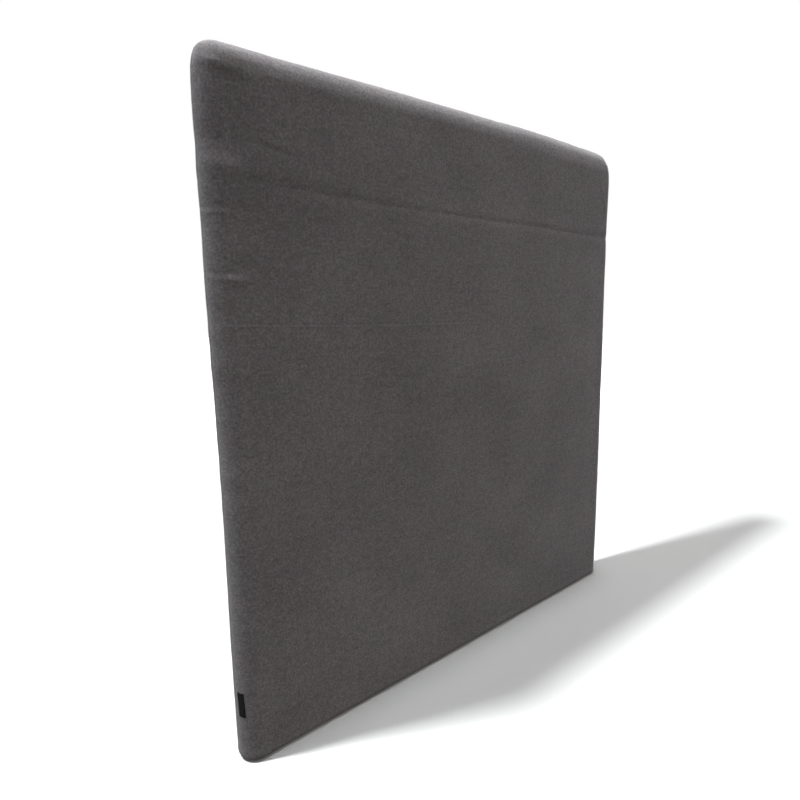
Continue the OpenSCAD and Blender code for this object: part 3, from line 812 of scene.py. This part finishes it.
def mix_color(nt, fac, a, b, blend="MIX"):
    n = nt.nodes.new("ShaderNodeMix")
    n.data_type = "RGBA"
    n.blend_type = blend
    for key, x in (("Factor", fac), ("A", a), ("B", b)):
        sock = next(s for s in n.inputs if s.name == key and (s.type == ("VALUE" if key == "Factor" else "RGBA")))
        if isinstance(x, (int, float)):
            sock.default_value = x
        elif isinstance(x, tuple):
            sock.default_value = (*x, 1.0)
        else:
            nt.links.new(x, sock)
    return next(s for s in n.outputs if s.type == "RGBA")


def bump(nt, height, strength, distance, under=None):
    n = nt.nodes.new("ShaderNodeBump")
    n.inputs["Strength"].default_value = strength
    n.inputs["Distance"].default_value = distance
    nt.links.new(height, n.inputs["Height"])
    if under is not None:
        nt.links.new(under, n.inputs["Normal"])
    return n.outputs[0]


def felt_material():
    m, nt, sh = material("charcoal_felt")
    place = cloth_place(nt)
    nap_and_shade = node(nt, "ShaderNodeAttribute", attribute_name="nap_and_shade").outputs["Fac"]
    # fibres lying in three directions, matted together
    f1 = noise_tex(nt, scaled(nt, place, (1500, 330, 1), 0.5), 1.0, 2.0, 0.6, 0.8)
    f2 = noise_tex(nt, scaled(nt, place, (420, 1500, 1), 0.25), 1.0, 2.0, 0.6, 0.8)
    f3 = noise_tex(nt, scaled(nt, place, (1250, 400, 1), -0.85), 1.0, 2.0, 0.6, 0.8)
    fibres = math_node(nt, "MAXIMUM", math_node(nt, "MAXIMUM", f1, f2), f3)
    clumps = noise_tex(nt, place, 185.0, 3.0, 0.62, 0.3)
    blotch = noise_tex(nt, place, 62.0, 3.0, 0.6, 0.2)
    broad = noise_tex(nt, place, 5.5, 2.0, 0.5)
    tone = math_node(nt, "ADD", math_node(nt, "MULTIPLY", fibres, 0.43), math_node(nt, "MULTIPLY", clumps, 0.66))
    tone = math_node(nt, "ADD", tone, math_node(nt, "MULTIPLY", blotch, 0.3))
    tone = math_node(nt, "ADD", tone, math_node(nt, "MULTIPLY", broad, 0.12))
    # tone from the vertex attribute: the pile's own tone and, on the front cloth, painted shade and painted highlights
    tone = math_node(nt, "ADD", tone, math_node(nt, "MULTIPLY", nap_and_shade, 0.055))
    # single hairs, seen only from close by
    h1 = noise_tex(nt, scaled(nt, place, (4300, 470, 1), 0.9), 1.0, 1.0, 0.5, 1.2)
    h2 = noise_tex(nt, scaled(nt, place, (520, 4300, 1), -0.3), 1.0, 1.0, 0.5, 1.2)
    hairs = math_node(nt, "MAXIMUM", h1, h2)
    tone = math_node(nt, "ADD", tone, math_node(nt, "MULTIPLY", math_node(nt, "SUBTRACT", hairs, 0.61), 0.75))
    colour = ramp(nt, tone, [(0.5, (0.057, 0.0503, 0.0512)), (0.66, (0.0875, 0.0783, 0.0793)), (0.8, (0.121, 0.1088, 0.1098)), (0.96, (0.175, 0.158, 0.158))])
    # brown and blue-grey wools carded together
    hue = noise_tex(nt, place, 150.0, 3.0, 0.6, 0.4)
    colour = mix_color(nt, ramp(nt, hue, [(0.36, (1, 1, 1)), (0.5, (0, 0, 0))]), colour, (0.965, 1.0, 1.035), "MULTIPLY")
    colour = mix_color(nt, ramp(nt, hue, [(0.5, (0, 0, 0)), (0.64, (1, 1, 1))]), colour, (1.035, 0.995, 0.975), "MULTIPLY")
    broad_hue = noise_tex(nt, place, 15.0, 2.0, 0.5)
    colour = mix_color(nt, ramp(nt, broad_hue, [(0.3, (1, 1, 1)), (0.5, (0, 0, 0))]), colour, (0.975, 1.005, 0.985), "MULTIPLY")
    colour = mix_color(nt, ramp(nt, broad_hue, [(0.5, (0, 0, 0)), (0.7, (1, 1, 1))]), colour, (1.012, 0.992, 1.005), "MULTIPLY")
    # a few pale stray fibres
    stray = noise_tex(nt, scaled(nt, place, (620, 150, 1), 1.1), 1.0, 0.0, 0.5, 2.5)
    stray = ramp(nt, stray, [(0.8, (0, 0, 0)), (0.86, (1, 1, 1))])
    colour = mix_color(nt, math_node(nt, "MULTIPLY", stray, 0.35), colour, (0.30, 0.285, 0.27))
    nt.links.new(colour, sh.inputs["Base Color"])
    height = math_node(nt, "ADD", math_node(nt, "MULTIPLY", fibres, 0.6), math_node(nt, "MULTIPLY", clumps, 0.7))
    height = math_node(nt, "ADD", height, math_node(nt, "MULTIPLY", hairs, 0.22))
    nt.links.new(bump(nt, height, 0.55, 0.0011), sh.inputs["Normal"])
    sh.inputs["Roughness"].default_value = 0.95
    sh.inputs["Specular IOR Level"].default_value = 0.18
    sh.inputs["Sheen Weight"].default_value = 0.13
    sh.inputs["Sheen Roughness"].default_value = 0.35
    sh.inputs["Sheen Tint"].default_value = (0.84, 0.84, 0.85, 1.0)
    return m


def weave_height(nt, place, pitch):
    """Plain weave: threads over and under each other."""
    sep = node(nt, "ShaderNodeSeparateXYZ", {"Vector": scaled(nt, place, (math.pi / pitch, math.pi / pitch, 1))})
    sx = math_node(nt, "ABSOLUTE", math_node(nt, "SINE", sep.outputs["X"]))
    sy = math_node(nt, "ABSOLUTE", math_node(nt, "SINE", sep.outputs["Y"]))
    check = node(nt, "ShaderNodeTexChecker", {"Vector": place})
    check.inputs["Scale"].default_value = 1.0 / pitch
    over = check.outputs["Fac"]
    a = math_node(nt, "MULTIPLY", sx, over)
    b = math_node(nt, "MULTIPLY", sy, math_node(nt, "SUBTRACT", 1.0, over))
    return math_node(nt, "ADD", a, b)


def woven_material(name, pitch, dark, light, strength, sheen, rough=0.85, attr=True):
    m, nt, sh = material(name)
    place = cloth_place(nt) if attr else object_place(nt)
    h = weave_height(nt, place, pitch)
    fuzz = noise_tex(nt, place, 0.9 / pitch, 3.0, 0.6)
    wear = noise_tex(nt, place, 22.0, 3.0, 0.55)
    tone = math_node(nt, "ADD", math_node(nt, "MULTIPLY", h, 0.5), math_node(nt, "MULTIPLY", fuzz, 0.35))
    tone = math_node(nt, "ADD", tone, math_node(nt, "MULTIPLY", wear, 0.3))
    nt.links.new(ramp(nt, tone, [(0.2, dark), (0.95, light)]), sh.inputs["Base Color"])
    nt.links.new(bump(nt, h, strength, pitch * 0.35), sh.inputs["Normal"])
    sh.inputs["Roughness"].default_value = rough
    sh.inputs["Specular IOR Level"].default_value = 0.25
    sh.inputs["Sheen Weight"].default_value = sheen
    sh.inputs["Sheen Roughness"].default_value = 0.4
    return m


def label_material():
    """Black satin weave: fine ribs across, long floats and a little wear."""
    m, nt, sh = material("woven_label")
    place = cloth_place(nt)
    sep = node(nt, "ShaderNodeSeparateXYZ", {"Vector": place})
    ribs = math_node(nt, "ABSOLUTE", math_node(nt, "SINE", math_node(nt, "MULTIPLY", sep.outputs["Y"], math.pi / 0.00055)))
    floats = noise_tex(nt, scaled(nt, place, (500, 2600, 1)), 1.0, 2.0, 0.6)
    wear = noise_tex(nt, place, 90.0, 3.0, 0.6)
    tone = math_node(nt, "ADD", math_node(nt, "MULTIPLY", ribs, 0.35), math_node(nt, "MULTIPLY", floats, 0.45))
    tone = math_node(nt, "ADD", tone, math_node(nt, "MULTIPLY", wear, 0.35))
    nt.links.new(ramp(nt, tone, [(0.3, (0.003, 0.003, 0.0032)), (0.7, (0.0055, 0.0055, 0.0058)), (1.0, (0.011, 0.011, 0.0112))]), sh.inputs["Base Color"])
    nt.links.new(bump(nt, math_node(nt, "ADD", ribs, floats), 0.5, 0.00018), sh.inputs["Normal"])
    nt.links.new(ramp(nt, wear, [(0.3, (0.82, 0.82, 0.82)), (0.8, (0.95, 0.95, 0.95))]), sh.inputs["Roughness"])
    sh.inputs["Specular IOR Level"].default_value = 0.06
    return m


def thread_material():
    m, nt, sh = material("thread")
    place = object_place(nt)
    twist = noise_tex(nt, place, 1700.0, 2.0, 0.5)
    nt.links.new(ramp(nt, twist, [(0.3, (0.02, 0.0195, 0.0195)), (0.75, (0.062, 0.06, 0.06))]), sh.inputs["Base Color"])
    nt.links.new(bump(nt, twist, 0.4, 0.0002), sh.inputs["Normal"])
    sh.inputs["Roughness"].default_value = 0.6
    sh.inputs["Sheen Weight"].default_value = 0.15
    return m


def nylon_material():
    m, nt, sh = material("zip_coil")
    place = object_place(nt)
    n1 = noise_tex(nt, place, 900.0, 2.0, 0.5)
    n2 = noise_tex(nt, place, 35.0, 3.0, 0.6)
    tone = math_node(nt, "ADD", math_node(nt, "MULTIPLY", n1, 0.4), math_node(nt, "MULTIPLY", n2, 0.6))
    nt.links.new(ramp(nt, tone, [(0.3, (0.012, 0.012, 0.013)), (0.8, (0.034, 0.034, 0.036))]), sh.inputs["Base Color"])
    nt.links.new(ramp(nt, n2, [(0.3, (0.32, 0.32, 0.32)), (0.75, (0.5, 0.5, 0.5))]), sh.inputs["Roughness"])
    nt.links.new(bump(nt, n1, 0.12, 0.0001), sh.inputs["Normal"])
    return m


def metal_material(name, coat, bare, coat_metal, rough, wear_from):
    """Plated or lacquered metal whose bare metal shows along rubbed edges."""
    m, nt, sh = material(name)
    place = object_place(nt)
    rim = node(nt, "ShaderNodeAmbientOcclusion", inside=True, only_local=True, samples=8)
    rim.inputs["Distance"].default_value = 0.0005
    scratch = noise_tex(nt, scaled(nt, place, (260, 1400, 1400)), 1.0, 3.0, 0.6)
    cloud = noise_tex(nt, place, 160.0, 4.0, 0.6)
    edge = math_node(nt, "SUBTRACT", 1.0, rim.outputs["AO"])
    edge = math_node(nt, "ADD", edge, math_node(nt, "MULTIPLY", math_node(nt, "SUBTRACT", cloud, 0.5), 0.5))
    worn = ramp(nt, edge, [(wear_from, (0, 0, 0)), (wear_from + 0.12, (1, 1, 1))])
    tone = ramp(nt, cloud, [(0.3, tuple(c * 0.8 for c in coat)), (0.7, tuple(min(1.0, c * 1.2) for c in coat))])
    nt.links.new(mix_color(nt, worn, tone, bare), sh.inputs["Base Color"])
    nt.links.new(ramp(nt, worn, [(0.0, (coat_metal,) * 3), (1.0, (1, 1, 1))]), sh.inputs["Metallic"])
    nt.links.new(ramp(nt, scratch, [(0.3, (rough - 0.08,) * 3), (0.75, (rough + 0.12,) * 3)]), sh.inputs["Roughness"])
    nt.links.new(bump(nt, scratch, 0.08, 0.0001), sh.inputs["Normal"])
    return m


def wood_material(name, axis, late, early, ring=0.011, ply=False):
    """Planed timber with its grain along one axis, or plywood with its plies across Z."""
    m, nt, sh = material(name)
    place = object_place(nt)
    squash = [1.0, 1.0, 1.0]
    squash[axis] = 0.045
    run = scaled(nt, place, tuple(squash))
    warp = noise_tex(nt, run, 9.0, 2.0, 0.5)
    wave = node(nt, "ShaderNodeTexWave", {"Vector": run})
    wave.wave_type = "RINGS"
    wave.rings_direction = "XYZ"[axis]
    wave.wave_profile = "SAW"
    wave.inputs["Scale"].default_value = 0.31 / ring
    wave.inputs["Distortion"].default_value = 5.0
    wave.inputs["Detail"].default_value = 2.0
    wave.inputs["Detail Scale"].default_value = 1.2
    fine = noise_tex(nt, run, 420.0, 3.0, 0.65)
    tone = math_node(nt, "ADD", math_node(nt, "MULTIPLY", wave.outputs["Fac"], 0.5), math_node(nt, "MULTIPLY", fine, 0.3))
    tone = math_node(nt, "ADD", tone, math_node(nt, "MULTIPLY", warp, 0.25))
    colour = ramp(nt, tone, [(0.2, early), (0.75, late)])
    if ply:
        sep = node(nt, "ShaderNodeSeparateXYZ", {"Vector": place})
        layer = math_node(nt, "SINE", math_node(nt, "MULTIPLY", sep.outputs["Z"], math.pi / 0.0014))
        dark = ramp(nt, layer, [(0.42, (0, 0, 0)), (0.58, (1, 1, 1))])
        colour = mix_color(nt, math_node(nt, "MULTIPLY", dark, 0.35), colour, (0.30, 0.18, 0.09))
    nt.links.new(colour, sh.inputs["Base Color"])
    nt.links.new(bump(nt, fine, 0.25, 0.0004), sh.inputs["Normal"])
    nt.links.new(ramp(nt, fine, [(0.3, (0.55, 0.55, 0.55)), (0.8, (0.75, 0.75, 0.75))]), sh.inputs["Roughness"])
    return m


def foam_material(name, dark, light, cell):
    m, nt, sh = material(name)
    place = object_place(nt)
    v = node(nt, "ShaderNodeTexVoronoi", {"Vector": place})
    v.inputs["Scale"].default_value = 1.0 / cell
    cloud = noise_tex(nt, place, 14.0, 4.0, 0.6)
    tone = math_node(nt, "ADD", math_node(nt, "MULTIPLY", v.outputs["Distance"], 0.6), math_node(nt, "MULTIPLY", cloud, 0.5))
    nt.links.new(ramp(nt, tone, [(0.2, dark), (0.7, light)]), sh.inputs["Base Color"])
    nt.links.new(bump(nt, v.outputs["Distance"], 0.6, cell * 0.6), sh.inputs["Normal"])
    sh.inputs["Roughness"].default_value = 0.95
    sh.inputs["Specular IOR Level"].default_value = 0.15
    return m


def absorber_material():
    m, nt, sh = material("absorber")
    place = object_place(nt)
    a = noise_tex(nt, scaled(nt, place, (1100, 300, 240)), 1.0, 3.0, 0.6, 1.0)
    b = noise_tex(nt, scaled(nt, place, (260, 300, 1200)), 1.0, 3.0, 0.6, 1.0)
    h = math_node(nt, "MAXIMUM", a, b)
    cloud = noise_tex(nt, place, 30.0, 3.0, 0.6)
    tone = math_node(nt, "ADD", math_node(nt, "MULTIPLY", h, 0.6), math_node(nt, "MULTIPLY", cloud, 0.4))
    nt.links.new(ramp(nt, tone, [(0.35, (0.27, 0.28, 0.3)), (0.75, (0.52, 0.54, 0.56))]), sh.inputs["Base Color"])
    nt.links.new(bump(nt, h, 0.6, 0.0012), sh.inputs["Normal"])
    sh.inputs["Roughness"].default_value = 0.95
    sh.inputs["Sheen Weight"].default_value = 0.2
    return m


felt = felt_material()
thread = thread_material()
base_m = woven_material("base_cloth", 0.0016, (0.008, 0.008, 0.009), (0.045, 0.044, 0.046), 0.7, 0.1)
tape_m = woven_material("zip_tape", 0.0009, (0.01, 0.01, 0.011), (0.04, 0.04, 0.043), 0.5, 0.1)
label_m = label_material()
coil_m = nylon_material()
lacquer = metal_material("zip_metal", (0.018, 0.018, 0.02), (0.4, 0.385, 0.36), 0.0, 0.36, 0.27)
zinc = metal_material("zinc_steel", (0.56, 0.57, 0.58), (0.62, 0.62, 0.62), 1.0, 0.3, 0.86)
pine_z = wood_material("pine_upright", 2, (0.50, 0.31, 0.14), (0.72, 0.53, 0.31))
pine_x = wood_material("pine_lengthwise", 0, (0.50, 0.31, 0.14), (0.72, 0.53, 0.31))
beech = wood_material("beech", 0, (0.47, 0.29, 0.16), (0.64, 0.45, 0.28), 0.004)
plywood = wood_material("plywood", 0, (0.5, 0.34, 0.18), (0.68, 0.52, 0.33), 0.03, True)
absorber = absorber_material()
foam = foam_material("foam", (0.62, 0.59, 0.46), (0.84, 0.81, 0.68), 0.0016)


def dress(ob, mat):
    ob.data.materials.clear()
    ob.data.materials.append(mat)


for ob in (front, back, hem):
    dress(ob, felt)
dress(base, base_m)
dress(label, label_m)
for ob in (topstitch, seam, base_stitch, label_stitch):
    dress(ob, thread)
for ob, _ in tapes:
    dress(ob, tape_m)
for ob in (coil_u, coil_l):
    dress(ob, coil_m)
for ob, _ in foams:
    dress(ob, foam)
for name, mat in {
    "zip_stops": lacquer, "zip_slider": lacquer, "zip_pull": lacquer, "base_eyelets": zinc, "frame_screws": zinc, "base_screws": zinc, "foot_inserts": zinc,
    "left_stile": pine_z, "right_stile": pine_z, "top_rail": pine_x, "mid_rail": pine_x, "bottom_rail": pine_x, "frame_dowels": beech, "base_board": plywood,
    "upper_core": absorber, "lower_core": absorber,
}.items():
    dress(NODES[name], mat)


def soften(name, width, segments, angle=40):
    """Rounds a carried-over node's edges without touching its mesh."""
    ob = NODES[name]
    weld = ob.modifiers.new("weld", "WELD")
    weld.merge_threshold = 1e-6
    b = ob.modifiers.new("edges", "BEVEL")
    b.width = width
    b.segments = segments
    b.limit_method = "ANGLE"
    b.angle_limit = math.radians(angle)
    b.use_clamp_overlap = True
    b.harden_normals = False


for name in ("zip_slider", "zip_pull", "zip_stops"):
    soften(name, 0.00028, 3)
for name in ("upper_core", "lower_core"):
    soften(name, 0.004, 3)

# ------------------------------------------------------------------ bodies; the nodes these pieces replace are hidden
for ob, slot, nodes in (
    (front, "charcoal_felt", ["front_cover"]), (back, "charcoal_felt", ["back_cover"]), (hem, "charcoal_felt", ["rear_hem"]), (base, "base_cloth", ["base_panel"]),
    (label, "woven_label", ["side_label"]), (seam, "thread", ["edge_seam"]), (topstitch, "thread", []), (base_stitch, "thread", []), (label_stitch, "thread", []),
    (coil_u, "zip_coil", ["zip_coil_upper"]), (coil_l, "zip_coil", ["zip_coil_lower"]), (tapes[0][0], "zip_tape", ["zip_tape_upper"]), (tapes[1][0], "zip_tape", ["zip_tape_lower"]),
    *((ob, "foam", [nm]) for ob, nm in foams),
):
    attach(ob, "panel")
    if nodes:
        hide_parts(*nodes)

# ------------------------------------------------------------------ floor, light, camera
bpy.ops.mesh.primitive_grid_add(x_subdivisions=8, y_subdivisions=8, size=40, location=(0, 0, -0.0004))
floor = bpy.context.object
floor.name = "floor"
m, nt, sh = material("pale_floor")
cloud = noise_tex(nt, object_place(nt), 1.2, 3.0, 0.5)
nt.links.new(ramp(nt, cloud, [(0.2, (0.86, 0.873, 0.881)), (0.8, (0.88, 0.893, 0.901))]), sh.inputs["Base Color"])
sh.inputs["Roughness"].default_value = 0.85
sh.inputs["Specular IOR Level"].default_value = 0.2
away = node(nt, "ShaderNodeVectorMath", {0: object_place(nt)}, operation="LENGTH").outputs["Value"]
far = node(nt, "ShaderNodeMapRange", {"Value": away}, interpolation_type="SMOOTHSTEP")
far.inputs["From Min"].default_value, far.inputs["From Max"].default_value = 1.7, 4.6
far.inputs["To Min"].default_value, far.inputs["To Max"].default_value = 0.0, 0.85
nt.links.new(far.outputs[0], sh.inputs["Emission Strength"])
sh.inputs["Emission Color"].default_value = (1.0, 1.0, 1.0, 1.0)
dress(floor, m)
floor.visible_diffuse = False  # the cover takes its light from the studio, not from the floor

world = bpy.data.worlds.new("studio")
bpy.context.scene.world = world
world.use_nodes = True
wt = world.node_tree
wt.nodes.clear()
w_out = wt.nodes.new("ShaderNodeOutputWorld")
w_mix = wt.nodes.new("ShaderNodeMixShader")
w_light = wt.nodes.new("ShaderNodeBackground")
w_seen = wt.nodes.new("ShaderNodeBackground")
w_path = wt.nodes.new("ShaderNodeLightPath")
w_dir = node(wt, "ShaderNodeSeparateXYZ", {"Vector": node(wt, "ShaderNodeTexCoord").outputs["Generated"]})
w_side = math_node(wt, "ADD", math_node(wt, "MULTIPLY", w_dir.outputs["X"], 0.14), math_node(wt, "MULTIPLY", w_dir.outputs["Y"], -0.06))
wt.links.new(math_node(wt, "ADD", w_side, 0.298), w_light.inputs["Strength"])
w_warm = math_node(wt, "ADD", math_node(wt, "MULTIPLY", w_side, 3.5), 0.5, True)
wt.links.new(ramp(wt, w_warm, [(0.0, (0.968, 0.962, 0.962)), (1.0, (1.0, 0.956, 0.914))]), w_light.inputs["Color"])
w_seen.inputs["Color"].default_value = (1, 1, 1, 1)
w_seen.inputs["Strength"].default_value = 1.0
wt.links.new(w_path.outputs["Is Camera Ray"], w_mix.inputs[0])
wt.links.new(w_light.outputs[0], w_mix.inputs[1])
wt.links.new(w_seen.outputs[0], w_mix.inputs[2])
wt.links.new(w_mix.outputs[0], w_out.inputs["Surface"])


def lamp(name, kind, strength, colour, floor_state):
    """A light for the floor alone (INCLUDE) or for everything but the floor (EXCLUDE)."""
    data = bpy.data.lights.new(name, kind)
    data.energy = strength
    data.color = colour
    ob = bpy.data.objects.new(name, data)
    bpy.context.scene.collection.objects.link(ob)
    lit = bpy.data.collections.new(name + "_receivers")
    lit.objects.link(floor)
    lit.collection_objects[0].light_linking.link_state = floor_state
    ob.light_linking.receiver_collection = lit
    return ob


def sun_light(name, strength, angle, travel, colour, floor_state):
    ob = lamp(name, "SUN", strength, colour, floor_state)
    ob.data.angle = math.radians(angle)
    ob.rotation_mode = "QUATERNION"
    ob.rotation_quaternion = Vector(travel).to_track_quat("-Z", "Y")


sun_light("overhead", 14.5, 50, (0.0, -0.06, -1.0), (0.92, 0.975, 1.0), "EXCLUDE")
sun_light("rim", 2.15, 50, (0.78, -0.54, -0.35), (0.87, 0.95, 1.0), "EXCLUDE")
sun_light("floor_fill", 0.88, 7, (0.0, 0.0, -1.0), (1.0, 1.0, 1.0), "INCLUDE")
key = lamp("key", "POINT", 1550.0, (1.0, 1.0, 1.0), "INCLUDE")
key.data.shadow_soft_size = 0.22
key.location = (-2.32, 0.765, 5.51)

cam = bpy.data.cameras.new("camera")
cam.lens = 25.08
cam.sensor_width = 36.0
cam.clip_start, cam.clip_end = 0.02, 100.0
cam_ob = bpy.data.objects.new("camera", cam)
bpy.context.scene.collection.objects.link(cam_ob)
right, up, fwd = Vector((0.77091328, -0.63664509, -0.01938418)), Vector((0.11936607, 0.11451237, 0.98622445)), Vector((0.62565522, 0.76260734, -0.16427293))
turn = Matrix((right, up, -fwd)).transposed().to_4x4()
cam_ob.matrix_world = Matrix.Translation((-1.1181, -1.10055, 1.0002)) @ turn
bpy.context.scene.camera = cam_ob
bpy.context.scene.view_settings.view_transform = "Standard"
bpy.context.scene.view_settings.look = "None"

bpy.context.view_layer.update()
